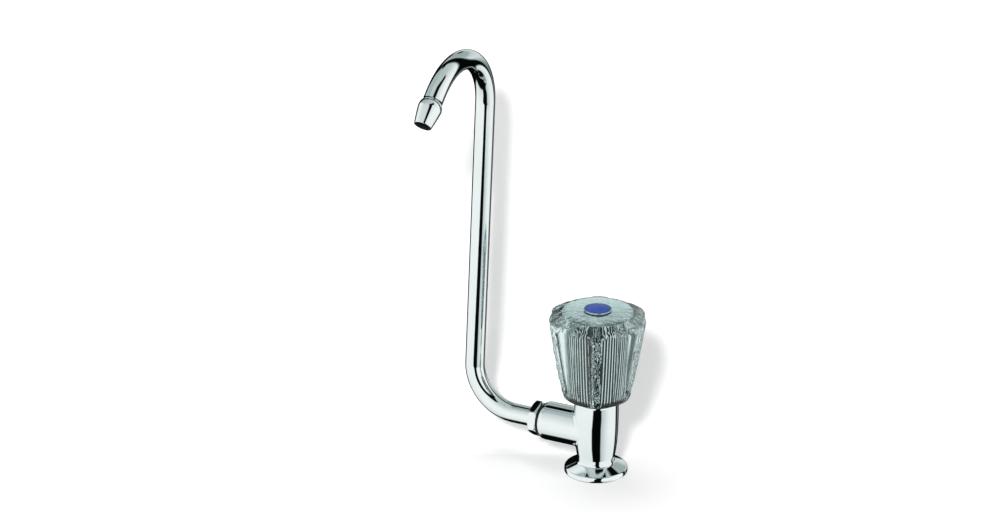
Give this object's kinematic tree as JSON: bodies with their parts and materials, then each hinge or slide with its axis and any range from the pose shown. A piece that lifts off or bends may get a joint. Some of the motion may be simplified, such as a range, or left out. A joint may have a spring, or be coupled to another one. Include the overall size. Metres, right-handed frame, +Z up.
{
  "type": "cold water tap",
  "caption": "Chromed pillar tap with a clear crystal knob, a side boss and a thin swan-neck spout that swivels on the boss.",
  "frame": {"origin": "centre of the base's underside, on the pillar's axis", "axes": "+Z up along the pillar and the knob's axis; -X along the side boss towards the spout; the spout's hook leans out along -Y, the tap's front"},
  "size_m": [0.0999, 0.0921, 0.2216],
  "materials": {
    "chrome": "polished chrome plate on brass",
    "crystal": "clear moulded acrylic",
    "silvering": "silvered ribbed plastic",
    "blue": "satin blue",
    "rubber": "matt",
    "brass": "machined",
    "steel": "plain stainless",
    "nylon": "natural nylon",
    "fibre": "red fibre"
  },
  "bodies": {
    "tap_body": {"valve_body": "chrome", "base_seal": "rubber", "gland_nut": "chrome", "headwork_housing": "brass", "headwork_gasket": "fibre"},
    "valve": {"valve_piston": "brass", "seat_washer": "rubber", "washer_screw": "brass"},
    "handle": {"knob": "crystal", "knob_core": "silvering", "index_cap": "blue", "handle_screw": "steel", "spindle": "brass", "thrust_washer": "nylon", "spindle_o_ring_lower": "rubber", "spindle_o_ring_upper": "rubber", "spindle_clip": "steel"},
    "spout": {"spout_tube": "chrome", "outlet_nozzle": "chrome", "spout_o_ring_inner": "rubber", "spout_spacer_ring": "nylon", "spout_o_ring_outer": "rubber", "spout_retaining_ring": "steel", "spout_thrust_washer": "nylon"}
  },
  "joints": [
    {"name": "knob_turn", "type": "hinge", "parent": "tap_body", "child": "handle", "pos_m": [0, 0, 0], "axis": [0, 0, 1], "range_deg": [0, 540]},
    {"name": "valve_lift", "type": "slide", "parent": "tap_body", "child": "valve", "axis": [0, 0, 1], "range_m": [0, 0.00375]},
    {"name": "spout_swivel", "type": "hinge", "parent": "tap_body", "child": "spout", "pos_m": [0, 0, 0.02186], "axis": [1, 0, 0], "range_deg": [-90, 70]}
  ],
  "couplings": [
    {"joint": "valve_lift", "follows": "knob_turn", "m_per_rad": 0.00039789}
  ]
}
